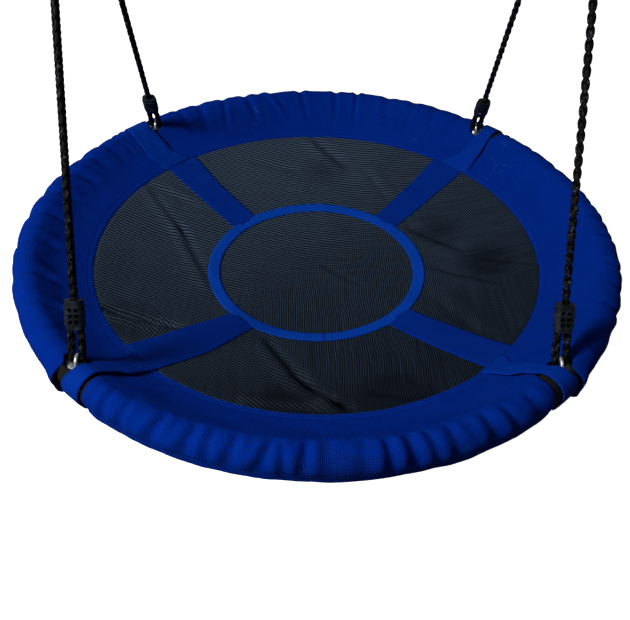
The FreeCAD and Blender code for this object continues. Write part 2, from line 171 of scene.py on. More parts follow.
class Nodes:
    """A short way to write a material's node tree."""

    def __init__(self, name):
        self.material = bpy.data.materials.new(name)
        self.material.use_nodes = True
        self.tree = self.material.node_tree
        self.shader = self.tree.nodes["Principled BSDF"]

    def add(self, kind, **values):
        node = self.tree.nodes.new(kind)
        for key, value in values.items():
            setattr(node, key, value)
        return node

    def link(self, source, target):
        self.tree.links.new(source, target)

    def fill(self, socket, value):
        if isinstance(value, bpy.types.NodeSocket):
            self.link(value, socket)
        elif value is not None:
            socket.default_value = value

    def math(self, operation, a, b=None, c=None):
        node = self.add("ShaderNodeMath", operation=operation)
        for socket, value in zip(node.inputs, (a, b, c)):
            self.fill(socket, value)
        return node.outputs[0]

    def noise(self, vector, scale, detail=3.0, roughness=0.5, distortion=0.0):
        node = self.add("ShaderNodeTexNoise")
        self.fill(node.inputs["Vector"], vector)
        node.inputs["Scale"].default_value = scale
        node.inputs["Detail"].default_value = detail
        node.inputs["Roughness"].default_value = roughness
        node.inputs["Distortion"].default_value = distortion
        return node.outputs["Fac"]

    def mix(self, factor, low, high):
        node = self.add("ShaderNodeMix", data_type="RGBA")
        self.fill(node.inputs[0], factor)
        self.fill(node.inputs[6], low)
        self.fill(node.inputs[7], high)
        return node.outputs[2]

    def spread(self, value, low, high, to_low=0.0, to_high=1.0):
        node = self.add("ShaderNodeMapRange")
        self.fill(node.inputs[0], value)
        for i, number in zip((1, 2, 3, 4), (low, high, to_low, to_high)):
            node.inputs[i].default_value = number
        return node.outputs[0]

    def bump(self, height, strength, distance, normal=None):
        node = self.add("ShaderNodeBump")
        node.inputs["Strength"].default_value = strength
        node.inputs["Distance"].default_value = distance
        self.fill(node.inputs["Height"], height)
        if normal is not None:
            self.link(normal, node.inputs["Normal"])
        return node.outputs[0]

    def stretch(self, vector, scale):
        node = self.add("ShaderNodeMapping")
        self.link(vector, node.inputs["Vector"])
        node.inputs["Scale"].default_value = scale
        return node.outputs[0]

    def place(self):
        return self.add("ShaderNodeTexCoord").outputs["Object"]

    def x_and_y(self, vector):
        parts = self.add("ShaderNodeSeparateXYZ")
        self.link(vector, parts.inputs[0])
        return parts.outputs[0], parts.outputs[1]

    def uv(self):
        return self.x_and_y(self.add("ShaderNodeTexCoord").outputs["UV"])

    def cells(self, vector, scale):
        node = self.add("ShaderNodeTexVoronoi")
        self.link(vector, node.inputs["Vector"])
        node.inputs["Scale"].default_value = scale
        return node.outputs["Distance"]

    def blend(self, factor, low, high):
        """A number between two others."""
        node = self.add("ShaderNodeMix")
        for i, source in zip((0, 2, 3), (factor, low, high)):
            self.link(source, node.inputs[i])
        return node.outputs[0]

    def set(self, **values):
        for key, value in values.items():
            self.fill(self.shader.inputs[key.replace("_", " ")], value)

    def surface(self, colour, uneven, dull, height, strength, distance, under=None):
        """Colour, roughness that wanders between the two values of dull, and bump."""
        self.set(
            Base_Color=colour,
            Roughness=self.spread(uneven, 0.3, 0.7, *dull),
            Normal=self.bump(height, strength, distance, under),
        )


def thread(n, position, pitch):
    """A row of round threads: 0 in the grooves, 1 on the crowns."""
    wave = n.math("SINE", n.math("MULTIPLY", position, 2 * math.pi / pitch))
    return n.math("MULTIPLY_ADD", wave, 0.5, 0.5)


def plain_weave(n, pitch_u, pitch_v):
    """Height of a plain weave of two sets of threads, over and under in turn, from UVs in metres."""
    u, v = n.uv()
    warp = thread(n, u, pitch_u)
    weft = thread(n, v, pitch_v)
    along_u = n.math("SINE", n.math("MULTIPLY", u, math.pi / pitch_u))
    along_v = n.math("SINE", n.math("MULTIPLY", v, math.pi / pitch_v))
    checker = n.math("MULTIPLY", along_u, along_v)
    side = n.spread(checker, -0.25, 0.25)
    over = n.math("MULTIPLY", warp, side)
    under = n.math("MULTIPLY", weft, n.math("SUBTRACT", 1.0, side))
    return n.math("ADD", over, under)


def cover_cloth():
    """Royal blue Oxford cloth: a coarse weave, matt, with painted shade in its grooves, paler flecks painted
    in as sheen, and a few worn, paler threads.
    """
    n = Nodes("cover_cloth")
    weave = plain_weave(n, 0.0023, 0.0019)
    place = n.place()
    cloudy = n.noise(place, 9.0, 4.0, 0.6)
    fine = n.noise(place, 420.0, 2.0, 0.6)
    base = n.mix(cloudy, (0.0006, 0.022, 0.28, 1), (0.0008, 0.044, 0.44, 1))
    # painted shade: darker where the weave's threads dip into grooves
    weave_painted_shade = n.mix(n.spread(weave, 0.10, 0.70), (0.0004, 0.013, 0.18, 1), base)
    # painted sheen: paler, brighter blue flecks scattered by fine noise
    painted_sheen = n.mix(n.spread(fine, 0.62, 0.82, 0.0, 0.30), weave_painted_shade, (0.003, 0.10, 0.62, 1))
    wander = n.noise(place, 26.0, 3.0, 0.55, 0.8)
    crease = n.spread(n.math("ABSOLUTE", n.math("SUBTRACT", wander, 0.5)), 0.0, 0.006, 1.0, 0.0)
    patches = n.spread(n.noise(place, 6.0, 2.0, 0.5), 0.56, 0.66)
    where = n.math("MULTIPLY", patches, n.spread(fine, 0.35, 0.6, 0.0, 0.45))
    worn = n.mix(n.math("MULTIPLY", crease, where), painted_sheen, (0.02, 0.16, 0.62, 1))
    height = n.math("ADD", weave, n.math("MULTIPLY", fine, 0.30))
    soft = n.bump(n.noise(place, 46.0, 4.0, 0.55), 0.30, 0.004)
    n.surface(worn, fine, (0.74, 0.92), height, 0.8, 0.0010, soft)
    n.set(Specular_IOR_Level=0.06, Specular_Tint=(0.1, 0.4, 1.0, 1))
    return n.material


def webbing_cloth(name, dark, bright, gloss=0.06):
    """Woven tape: fine ribs across it and a small herringbone along it, with painted shade in the grooves."""
    n = Nodes(name)
    u, v = n.uv()
    ribs = thread(n, v, 0.0021)
    twill = thread(n, n.math("ADD", v, n.math("PINGPONG", u, 0.0045)), 0.0028)
    height = n.math("ADD", n.math("MULTIPLY", ribs, 0.6), n.math("MULTIPLY", twill, 0.6))
    place = n.place()
    cloudy = n.noise(place, 16.0, 4.0, 0.6)
    fine = n.noise(place, 500.0, 2.0, 0.5)
    base = n.mix(cloudy, dark, bright)
    # painted shade: the grooves between ribs are darker than their crowns
    groove_painted_shade = tuple(0.6 * c for c in dark[:3]) + (1,)
    shade = n.mix(n.spread(height, 0.0, 0.8), groove_painted_shade, base)
    n.surface(shade, fine, (0.66, 0.86), height, 0.5, 0.0008)
    n.set(Specular_IOR_Level=gloss, Specular_Tint=(0.2, 0.5, 1.0, 1))
    return n.material


def lies_of_cloth(n, x, y):
    """Where the ribs don't lie front to back: a mask, the direction across the ribs, and their pitch."""
    right = n.spread(n.math("MULTIPLY_ADD", y, 0.25, x), 0.15, 0.27)
    left = n.spread(n.math("SUBTRACT", n.math("MULTIPLY", y, -0.55), x), 0.08, 0.24)
    rear = n.spread(n.math("MULTIPLY_ADD", x, -0.75, y), -0.07, 0.11)
    return (right, 0.72, -0.69, 0.0042), (left, 0.62, 0.78, 0.0050), (rear, 0.22, 0.97, 0.0062)


# places where the slack mesh lies in its own shade: middle and reach
SLACK_SHADE = (
    ((-0.030, -0.366), 0.080),
    ((0.105, -0.345), 0.070),
    ((-0.300, -0.190), 0.070),
    ((0.225, 0.090), 0.060),
    ((0.300, -0.010), 0.060),
    ((0.020, 0.290), 0.055),
)


def mesh_cloth():
    """Dark slate net: a small square mesh, and ribs whose lie turns with the pull of the rim; painted sheen
    and shade make it lighter to the rear and left and darker to the front.
    """
    n = Nodes("mesh_cloth")
    place = n.place()
    x, y = n.x_and_y(place)
    wander = n.math("MULTIPLY", n.noise(place, 3.0, 2.0, 0.5), 0.05)

    def ribs(across_x, across_y, pitch):
        place_across = n.math("ADD", n.math("MULTIPLY", x, across_x), n.math("MULTIPLY", y, across_y))
        return thread(n, n.math("ADD", place_across, wander), pitch)

    shown = ribs(1.0, 0.0, 0.0036)
    for mask, across_x, across_y, pitch in lies_of_cloth(n, x, y):
        shown = n.blend(mask, shown, ribs(across_x, across_y, pitch))
    holes = n.math("MULTIPLY", thread(n, x, 0.0017), thread(n, y, 0.0017))
    fine = n.noise(place, 380.0, 2.0, 0.6)
    cloudy = n.math("MULTIPLY", n.noise(place, 7.0, 4.0, 0.6), 0.35)
    along_x = n.noise(n.stretch(place, (7.0, 150.0, 1.0)), 1.0, 3.0, 0.6)
    along_y = n.noise(n.stretch(place, (150.0, 7.0, 1.0)), 1.0, 3.0, 0.6)
    turned = n.blend(n.spread(y, -0.12, 0.02), along_y, along_x)
    # painted sheen and shade: lighter towards the rear and left, darker towards the front and right
    fade = n.math("ADD", n.math("MULTIPLY", y, 1.15), n.math("MULTIPLY", x, -0.75))
    streaks = n.math("MULTIPLY", turned, 0.7)
    # random tone and streaks, plus the painted sheen and shade of the slope above
    paler = n.math("ADD", n.math("ADD", fade, 0.06), n.math("ADD", cloudy, streaks))
    for middle, size in SLACK_SHADE:
        reach = n.add("ShaderNodeVectorMath", operation="DISTANCE")
        n.link(place, reach.inputs[0])
        reach.inputs[1].default_value = (*middle, DISH_EDGE_Z - 0.02)
        paler = n.math("SUBTRACT", paler, n.spread(reach.outputs["Value"], 0.2 * size, size, 0.42, 0.0))
    base = n.mix(paler, (0.0045, 0.010, 0.021, 1), (0.052, 0.084, 0.135, 1))
    # painted shade: the grooves between the ribs are darker
    rib_painted_shade = n.mix(n.spread(shown, 0.30, 0.80), (0.0015, 0.0035, 0.007, 1), base)
    netted = n.mix(n.spread(holes, 0.25, 0.9, 0.0, 0.08), rib_painted_shade, (0.060, 0.080, 0.105, 1))
    height = n.math("ADD", n.math("MULTIPLY", shown, 0.9), n.math("MULTIPLY", holes, 0.12))
    n.surface(netted, fine, (0.55, 0.8), height, 0.8, 0.0012)
    n.set(Specular_IOR_Level=0.10)
    return n.material


def rope_strand():
    """Black braided polypropylene with a dull shine and paler grey flecks painted in as the strands'
    highlights.
    """
    n = Nodes("rope_strand")
    place = n.place()
    long_, _ = n.uv()
    filaments = n.noise(place, 900.0, 2.0, 0.6)
    painted_glints = n.noise(place, 210.0, 2.0, 0.5)
    # painted highlights: paler grey flecks on the black strands
    base = n.mix(n.spread(painted_glints, 0.58, 0.72), (0.0012, 0.0014, 0.0018, 1), (0.075, 0.084, 0.105, 1))
    lay = thread(n, long_, 0.0009)
    height = n.math("ADD", n.math("MULTIPLY", lay, 0.5), filaments)
    n.surface(base, painted_glints, (0.38, 0.6), height, 0.5, 0.0004)
    n.set(Specular_IOR_Level=0.12)
    return n.material


def zinc_steel():
    """Bright zinc plate: pale, a little blotchy, with fine scratches and darker spots."""
    n = Nodes("zinc_steel")
    place = n.place()
    blotches = n.noise(place, 160.0, 4.0, 0.65)
    scratch = n.noise(place, 900.0, 3.0, 0.7, 0.6)
    base = n.mix(blotches, (0.62, 0.68, 0.74, 1), (0.86, 0.92, 0.97, 1))
    n.surface(base, scratch, (0.24, 0.42), scratch, 0.18, 0.0002)
    n.set(Metallic=0.72)
    return n.material


def frame_steel():
    """Galvanised tube: grey spangle with a duller weld scale."""
    n = Nodes("frame_steel")
    place = n.place()
    dull = n.noise(place, 60.0, 4.0, 0.6)
    spangle = n.spread(n.cells(place, 130.0), 0.0, 0.7)
    base = n.mix(spangle, (0.34, 0.36, 0.38, 1), (0.55, 0.57, 0.60, 1))
    n.surface(base, dull, (0.34, 0.6), dull, 0.2, 0.0003)
    n.set(Metallic=1.0)
    return n.material


def black_foam():
    """Closed-cell foam: nearly black, matte, with a skin of fine pits."""
    n = Nodes("black_foam")
    place = n.place()
    dust = n.noise(place, 70.0, 3.0, 0.6)
    base = n.mix(dust, (0.0025, 0.0025, 0.0028, 1), (0.0075, 0.0072, 0.0070, 1))
    n.surface(base, dust, (0.78, 0.95), n.cells(place, 620.0), 0.6, 0.0006)
    n.set(Specular_IOR_Level=0.2)
    return n.material


def black_plastic():
    """Moulded black plastic: satin, slightly grained, with paler bluish patches painted in as sheen."""
    n = Nodes("black_plastic")
    place = n.place()
    grain = n.noise(place, 700.0, 2.0, 0.6)
    painted_sheen = n.noise(place, 90.0, 4.0, 0.6)
    # painted sheen: paler, bluish patches
    base = n.mix(n.spread(painted_sheen, 0.45, 0.75), (0.0045, 0.0055, 0.0075, 1), (0.020, 0.026, 0.036, 1))
    n.surface(base, painted_sheen, (0.36, 0.54), grain, 0.25, 0.0003)
    n.set(Specular_IOR_Level=0.5, Specular_Tint=(0.7, 0.85, 1.0, 1))
    return n.material


def sewing_thread():
    """Blue polyester thread, paler than the cloth, with a twist."""
    n = Nodes("sewing_thread")
    twist = n.noise(n.place(), 1500.0, 2.0, 0.5)
    base = n.mix(twist, (0.0008, 0.030, 0.30, 1), (0.0015, 0.060, 0.50, 1))
    n.surface(base, twist, (0.55, 0.75), twist, 0.4, 0.0002)
    n.set(Specular_IOR_Level=0.10, Specular_Tint=(0.1, 0.4, 1.0, 1))
    return n.material


COVER = cover_cloth()
FLAP = webbing_cloth("flap_cloth", (0.0006, 0.027, 0.29, 1), (0.0008, 0.040, 0.37, 1))
TAPE = webbing_cloth("webbing_tape", (0.0010, 0.040, 0.36, 1), (0.0016, 0.068, 0.50, 1), 0.10)
# the strap is the same tape as the flap, painted darker where it lies on the mesh: painted shade
SHADED_STRAP = webbing_cloth("strap_tape", (0.0006, 0.019, 0.22, 1), (0.0008, 0.031, 0.30, 1))
NET = mesh_cloth()
ROPE = rope_strand()
ZINC = zinc_steel()
TUBE = frame_steel()
FOAM = black_foam()
PLASTIC = black_plastic()
THREAD = sewing_thread()


def paint(piece, material):
    piece.data.materials.clear()
    piece.data.materials.append(material)
    return piece


def paint_node(name, material):
    node = nodes[name]
    node.data.materials.clear()
    node.data.materials.append(material)
    return node


# ---------------------------------------------------------------- camera

def make_camera():
    """The photograph's view: close, from a little above, looking down into the seat."""
    position = Vector((-0.0236, -1.0472, SEAT_Z + 0.7673))
    pitch, yaw, roll = (math.radians(a) for a in (37.8606, 1.097, 1.1727))
    ahead = Vector((math.sin(yaw) * math.cos(pitch), math.cos(yaw) * math.cos(pitch), -math.sin(pitch)))
    level = ahead.cross(Vector((0, 0, 1))).normalized()
    upright = level.cross(ahead)
    right = level * math.cos(roll) + upright * math.sin(roll)
    up = -level * math.sin(roll) + upright * math.cos(roll)
    data = bpy.data.cameras.new("camera")
    data.sensor_width = 36.0
    data.lens = 43.0
    data.shift_y = -60 / 630
    data.clip_start = 0.02
    data.clip_end = 60.0
    camera = bpy.data.objects.new("camera", data)
    turn = Matrix((right, up, -ahead)).transposed().to_4x4()
    camera.matrix_world = Matrix.Translation(position) @ turn
    scene.collection.objects.link(camera)
    scene.camera = camera


# ---------------------------------------------------------------- ropes

RING_Z = SEAT_Z + 0.740
TOP_RING_R = 0.026
LOW_TURN = [(-0.0081, -0.0031), (-0.0034, -0.0080), (0.0034, -0.0080), (0.0081, -0.0031)]
HIGH_TURN = [(0.0098, 0.0034), (0.0042, 0.0095), (-0.0042, 0.0095), (-0.0098, 0.0034)]
PLAIT_PITCH = 0.032
PLAIT_RADIUS = 0.00360
PLAIT_LIFT = 0.00052
PLAIT_LINGER = 0.55
STRAND_RADIUS = 0.00170
STRAND_SIDES = 6
CORE_SIDES = 8
PAIR_SPREAD = 0.056
PLAIT_START = 0.08


def rope_line(side, end):
    """Where a rope's line starts, the way it runs, and its length up to the top ring's wire."""
    eye = Vector((side * EYE_XY, end * EYE_XY, EYE_Z))
    run = Vector((side * EYE_XY, 0, RING_Z)) - eye
    return eye, run.normalized(), run.length - TOP_RING_R


def rope_route(side, end):
    """The rope's route: down out of the adjuster, round its eye, and on up to the top ring and back."""
    eye, line, length = rope_line(side, end)
    steps = [
        (-0.006, 0.058),
        (-0.006, 0.050),
        *LOW_TURN,
        (0.006, 0.050),
        (0, 0.068),
        (0, 0.128),
        (0, length - 0.178),
        (0, length - 0.118),
        (0.006, length - 0.088),
        (0.006, length - 0.045),
        *((a, length + b) for a, b in HIGH_TURN),
        (-0.006, length - 0.045),
        (-0.006, length - 0.069),
    ]
    return [eye + Vector((a, 0, 0)) + line * b for a, b in steps]


def spline_points(name, points):
    """Points along the smooth NURBS line that has the route's points as its control points."""
    data = bpy.data.curves.new(name, "CURVE")
    data.dimensions = "3D"
    data.resolution_u = 24
    spline = data.splines.new("NURBS")
    spline.points.add(len(points) - 1)
    for spot, point in zip(spline.points, points):
        spot.co = (*point, 1)
    spline.order_u = 3
    spline.use_endpoint_u = True
    holder = bpy.data.objects.new(name, data)
    scene.collection.objects.link(holder)
    mesh = bpy.data.meshes.new_from_object(holder.evaluated_get(bpy.context.evaluated_depsgraph_get()))
    line = [v.co.copy() for v in mesh.vertices]
    bpy.data.objects.remove(holder)
    bpy.data.meshes.remove(mesh)
    return line


def evenly(line, step):
    """The same line with points a step apart, and the distance of each from the start."""
    total = sum((b - a).length for a, b in zip(line, line[1:]))
    count = max(2, round(total / step))
    spaced, distances = [line[0]], [0.0]
    walked, i = 0.0, 0
    for at in range(1, count):
        goal = total * at / count
        leg = (line[i + 1] - line[i]).length
        while walked + leg < goal:
            walked += leg
            i += 1
            leg = (line[i + 1] - line[i]).length
        spaced.append(line[i].lerp(line[i + 1], (goal - walked) / leg))
        distances.append(goal)
    return spaced + [line[-1]], distances + [total]


def tube_uvs(distances, sides):
    return [(distance, side / sides) for distance in distances for side in range(sides)]


def plait(line, distances, normal):
    """Eight strands plaited round a line: two pairs each way, that pass over and under each other."""
    verts, faces, uvs = [], [], []
    last = len(line) - 1
    aheads = [(line[min(i + 1, last)] - line[max(i - 1, 0)]).normalized() for i in range(last + 1)]
    for way in (1, -1):
        for group in (0, 0.5):
            for pair in (-PAIR_SPREAD, PAIR_SPREAD):
                path, outs = [], []
                for point, ahead, s in zip(line, aheads, distances):
                    turn = s / PLAIT_PITCH
                    over = way * math.cos(4 * math.pi * turn)
                    linger = way * PLAIT_LINGER * math.sin(4 * math.pi * turn) / (4 * math.pi)
                    angle = 2 * math.pi * (way * (turn - linger) + group + pair + PLAIT_START)
                    across = ahead.cross(normal)
                    out = across * math.cos(angle) + normal * math.sin(angle)
                    path.append(point + out * (PLAIT_RADIUS + PLAIT_LIFT * over))
                    outs.append(out)
                add_part(verts, faces, *tube_mesh(path, outs, STRAND_RADIUS, STRAND_SIDES))
                uvs += tube_uvs(distances, STRAND_SIDES)
    add_part(verts, faces, *tube_mesh(line, [normal] * len(line), PLAIT_RADIUS, CORE_SIDES))
    return verts, faces, uvs + tube_uvs(distances, CORE_SIDES)


def make_ropes():
    for name, (side, end, _, _) in CORNERS.items():
        _, line, _ = rope_line(side, end)
        curve = spline_points("route_" + name, rope_route(side, end))
        path, distances = evenly(curve, PLAIT_PITCH / 20)
        strands = plait(path, distances, Vector((1, 0, 0)).cross(line))
        rope = make_object("plaited_rope_" + name, *strands)
        paint(rope, ROPE)
        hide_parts("rope_" + name)
        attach(rope, "ropes_left" if side < 0 else "ropes_right")
        tuple(path[0])
        [tuple(p) for p in path]


# ---------------------------------------------------------------- the rim: covers, foam and flaps

EDGE = (0.3816, -0.0362, 0.0025)
HEM = (0.4868, -0.0150, 0.0078)
PAD = (RING_R, 0.0, PAD_R)
COVER_STEP = 0.004
CLOTH_T = 0.0012
FOAM_T = 0.004
FOAM_DENT = 0.0145
FOAM_SUNK = 0.0055
FOAM_SUNK_BELOW = 0.0016
FLAP_T = 0.0016
HEM_SEAM = 164.0


def belt(circles, step):
    """A belt pulled round circles (radius out, height, size), as (distance, radius out, height, normal).

    The circles are listed counter-clockwise. The belt starts at the first one's far side and runs clockwise.
    """
    normals = []
    for (x1, y1, r1), (x2, y2, r2) in zip(circles, circles[1:] + circles[:1]):
        along = math.atan2(y2 - y1, x2 - x1)
        normals.append(along - math.acos((r1 - r2) / math.hypot(x2 - x1, y2 - y1)))
    points = []
    for i, (x, y, r) in enumerate(circles):
        turn = (normals[i] - normals[i - 1]) % (2 * math.pi)
        count = max(4, math.ceil(turn * r / step))
        for k in range(count + 1):
            a = normals[i - 1] + turn * k / count
            points.append((x + r * math.cos(a), y + r * math.sin(a), a))
        x2, y2, r2 = circles[(i + 1) % len(circles)]
        a = normals[i]
        leaves = points[-1][:2]
        lands = (x2 + r2 * math.cos(a), y2 + r2 * math.sin(a))
        count = math.ceil(math.dist(leaves, lands) / step)
        for k in range(1, count):
            points.append((*(p + (q - p) * k / count for p, q in zip(leaves, lands)), a))
    start = min(range(len(points)), key=lambda i: points[i][0])
    loop = [points[(start - i) % len(points)] for i in range(len(points) + 1)]
    section, walked = [], 0.0
    for i, (r, z, a) in enumerate(loop):
        if i:
            walked += math.dist(loop[i - 1][:2], (r, z))
        section.append((walked, r, z, math.cos(a), math.sin(a)))
    return section


def ramp(t, knots):
    """A smooth run of values through knots (place, value)."""
    if t <= knots[0][0]:
        return knots[0][1]
    for (t0, v0), (t1, v1) in zip(knots, knots[1:]):
        if t <= t1:
            return v0 + (v1 - v0) * smooth((t - t0) / (t1 - t0))
    return knots[-1][1]


# how far past the rope eye, towards the flap, each thing ends, against the distance round the section (mm)
FLAP_BACK = {
    "front_left": [(0, -10), (36, 11), (84, 15), (98, 20), (118, 17), (150, 11), (186, 12)],
    "front_right": [(0, -4), (36, 18), (84, 15), (98, 18), (118, 13), (150, 6), (186, 8)],
    "rear_left": [(0, -20), (44, 8), (84, 12), (98, 16), (118, 12), (150, 6), (186, 10)],
    "rear_right": [(0, -20), (44, 8), (84, 12), (98, 16), (118, 12), (150, 6), (186, 10)],
}
FLAP_FRONT = {
    "front_left": [(0, 62), (50, 60), (76, 50), (100, 46), (150, 46), (186, 44)],
    "front_right": [(0, 60), (50, 57), (76, 45), (100, 41), (150, 40), (186, 41)],
    "rear_left": [(0, 54), (50, 66), (100, 63), (150, 56), (186, 50)],
    "rear_right": [(0, 58), (50, 50), (100, 43), (150, 46), (186, 46)],
}
HIDDEN_END = [(60, 20), (76, 30), (92, 42), (104, 50), (150, 52), (178, 58), (200, 60)]
OPEN_END = {
    "front_left": [(80, 16), (92, -8), (112, -16), (124, -5), (170, -5), (182, 6)],
    "front_right": [(80, 16), (92, -8), (112, -16), (124, -1), (170, 0), (182, 6)],
    "rear_left": [(80, 16), (92, -8), (112, -16), (124, -4), (170, -4), (182, 6)],
    "rear_right": [(80, 16), (92, -8), (112, -16), (124, -4), (170, -4), (182, 6)],
}

# folds: angle round the seat (degrees), lean (how far one moves along the tube on its way to the hem),
# half width and depth (mm)
COVER_FOLDS = {
    "front": [
        (233.0, -3, 6, 2.0), (235.6, -3, 6, 3.5), (239.2, -4, 6, 3.5), (244.9, -13, 8, 5.0),
        (250.4, -11, 8, 4.5), (253.6, -4, 6, 2.5), (257.0, -9, 7, 4.0), (261.8, -16, 8, 5.5),
        (264.6, 8, 6, 3.5), (267.6, -5, 7, 5.0), (271.0, 2, 9, 1.5), (276.2, 1, 8, 1.5),
        (280.0, 5, 7, 5.0), (283.4, 5, 8, 5.5), (286.6, 9, 6, 2.5), (290.0, 8, 8, 4.0),
        (296.4, 12, 9, 5.0), (300.2, 12, 7, 3.0), (305.0, 10, 9, 3.0),
    ],
    "left": [
        (142.6, 3, 3.2, 2.6), (144.5, 5, 3.4, 2.8), (146.8, 8, 4.5, 2.4), (151.0, 14, 9, 2.0),
        (157.0, 20, 11, 3.2), (164.0, 22, 12, 4.6), (171.5, 16, 11, 3.4), (179.0, 14, 13, 5.4),
        (188.0, 10, 12, 4.6), (197.5, -6, 13, 5.0), (206.5, -10, 12, 4.0), (214.5, -8, 9, 3.2),
    ],
    "right": [
        (-38.0, 8, 9, 1.6), (-31.0, 10, 10, 1.8), (-26.0, 10, 8, 3.0), (-20.0, -6, 8, 1.6),
        (-14.0, -8, 7, 3.6), (-5.0, -8, 6, 3.6), (1.0, -8, 7, 3.8), (6.5, -10, 7, 2.0),
        (12.0, -10, 7, 3.6), (21.0, -14, 10, 2.2), (29.0, -12, 8, 1.8), (36.2, -6, 4, 2.0),
        (38.0, -5, 3.4, 1.8),
    ],
    "rear": [
        (50.0, -8, 10, 1.8), (57.0, -4, 12, 1.6), (64.0, 6, 10, 1.6), (71.0, 8, 10, 2.0),
        (79.2, 3, 5.5, 4.0), (84.8, 3, 7, 2.8), (94.6, 12, 8, 3.4), (104.6, 34, 8, -3.2),
        (109.2, 12, 9, 3.4), (114.2, -12, 8, 2.8), (121.0, -8, 11, 2.2), (127.5, 6, 8, 2.2),
    ],
}

# where round the section the folds start, are full, begin to fade and end (mm)
FOLD_REACH = {
    "front": (100, 117, 142, 165),
    "left": (56, 80, 122, 162),
    "right": (98, 124, 150, 165),
    "rear": (30, 84, 120, 158),
}

# a fold's side ridges, as a share of its depth
FOLD_RIDGE = 0.42

# how far the covers' cloth sags, rolls or flares (mm)
TOP_SAG = 4.2
EDGE_ROLL = 0.7
HEM_FLARE = 3.4
HEM_GROOVE = 1.3
UNDER_SAG = 2.5
OPEN_FLARE = 7.5
END_PINCH = 1.6


def fold_height(s, t, folds, reach):
    """How far the gathered cloth stands out, in millimetres, at a place along and round the cover."""
    start, full, fades, end = reach
    window = smooth((t - start) / (full - start)) * smooth((end - t) / (end - fades))
    if window <= 0:
        return 0.0
    height = 0.0
    for middle, lean, width, depth in folds:
        offset = s - middle - lean * (t - 140) / 60
        spread = width * (0.75 + 0.5 * smooth((t - 110) / 60))
        ridges = bump((offset - 2 * spread) / spread) + bump((offset + 2 * spread) / spread)
        height += depth * (FOLD_RIDGE * ridges - bump(offset / spread))
    return height * window


def cover_height(s, t, folds, reach, seed):
    """Everything that lifts the cover's face off its smooth section, in millimetres."""
    past_seam = t - HEM_SEAM
    height = fold_height(s, t, folds, reach)
    height -= TOP_SAG * arch((t - 4) / 100) ** 1.5
    height += EDGE_ROLL * (smooth((t - 2) / 2) * smooth((12.5 - t) / 1.5) - bump((t - 13) / 1.1))
    height += HEM_FLARE * smooth((past_seam - 0.5) / 8) * smooth((22 - past_seam) / 10)
    height -= HEM_GROOVE * bump(past_seam / 1.3)
    height -= UNDER_SAG * arch((t - 200) / 90)
    broad = noise.noise(Vector((s / 70, t / 42, seed)))
    small = noise.noise(Vector((s / 19, t / 27, seed + 7)))
    fine = noise.noise(Vector((s / 7, t / 16, seed + 13)))
    calm = 0.35 + 0.65 * smooth((t - 16) / 30)
    return height + calm * (1.7 * broad + 0.65 * small + 0.22 * fine)


def rim_spot(angle, r, z):
    return Vector((r * math.cos(angle), r * math.sin(angle), SEAT_Z + z))


COVER_SECTION = belt([EDGE, HEM, PAD], 0.0028)


def corner_at(angle):
    angle %= 360
    return next((name, c) for name, c in CORNERS.items() if abs(c[2] - angle) < 1)


def is_open(angle, low_end):
    """Whether the cover that starts (low end) or stops at a corner is the one that no flap lies over."""
    _, (_, _, _, hand) = corner_at(angle)
    return (hand < 0) == low_end


def cover_end(middle, turn, t):
    """The angle at which a cover ends, at a distance round its section."""
    name, (_, _, angle, hand) = corner_at(middle + turn)
    into = -1 if turn > 0 else 1
    reach = ramp(t, HIDDEN_END) if into == hand else ramp(t, OPEN_END[name])
    return middle + turn + hand * arc_degrees(reach / 1000)


COVERS = (("rear", 90.0), ("left", 180.0), ("front", 270.0), ("right", 0.0))


def folds_along(name, middle):
    """A cover's folds with their places in millimetres from its middle."""
    return [(math.radians(angle - middle) * RING_R * 1000, *rest) for angle, *rest in COVER_FOLDS[name]]


def cover_spot(cover, row, share, above=0.0):
    """A spot on a cover, its outward direction and its UV, from a section row and a share of its length."""
    seed, name, middle, folds = cover
    t, r, z, out_r, out_z = row
    t_mm = t * 1000
    low, high = (cover_end(middle, turn, t_mm) for turn in (-45, 45))
    degrees = low + (high - low) * share
    s = math.radians(degrees - middle) * RING_R * 1000
    from_low, from_high = (math.radians(a) * RING_R * 1000 for a in (degrees - low, high - degrees))
    near = min(from_low, from_high)
    lift = cover_height(s, t_mm, folds, FOLD_REACH[name], 10.0 * seed)
    lift -= END_PINCH * bump(near / 9) * smooth((t_mm - 90) / 20)
    if is_open(middle + (-45 if from_low < from_high else 45), from_low < from_high):
        lift += OPEN_FLARE * bump(near / 19) * smooth((t_mm - 128) / 20) * smooth((182 - t_mm) / 12)
        under_flap = smooth((34 - near) / 18) * smooth((92 - t_mm) / 16)
    else:
        under_flap = smooth((86 - near) / 18) * smooth((116 - t_mm) / 20)
    under_flap *= smooth((t_mm - 12) / 14)
    lift = (lift - under_flap * (max(lift, -2) + 2)) / 1000
    around = math.radians(degrees)
    up = Vector((out_r * math.cos(around), out_r * math.sin(around), out_z))
    return rim_spot(around, r, z) + up * (lift + above), up, (s / 1000, t)


def all_covers():
    """Each cover as its noise seed, its name, the angle of its middle and its folds."""
    for seed, (name, middle) in enumerate(COVERS):
        yield seed, name, middle, folds_along(name, middle)


def make_covers():
    """Four cloth sleeves, gathered at the hem, dished beside the mesh, open round the rope eyes."""
    columns = round(math.radians(90) * RING_R / COVER_STEP)
    for cover in all_covers():
        name = cover[1]
        shares = [j / columns for j in range(columns + 1)]
        spots = [cover_spot(cover, row, share) for row in COVER_SECTION for share in shares]
        piece = spots_object("cloth_cover_" + name, spots, len(COVER_SECTION), columns + 1)
        weld_seam(piece)
        thicken(piece, CLOTH_T)
        paint(piece, COVER)
        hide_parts("cover_" + name)
        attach(piece, "seat")


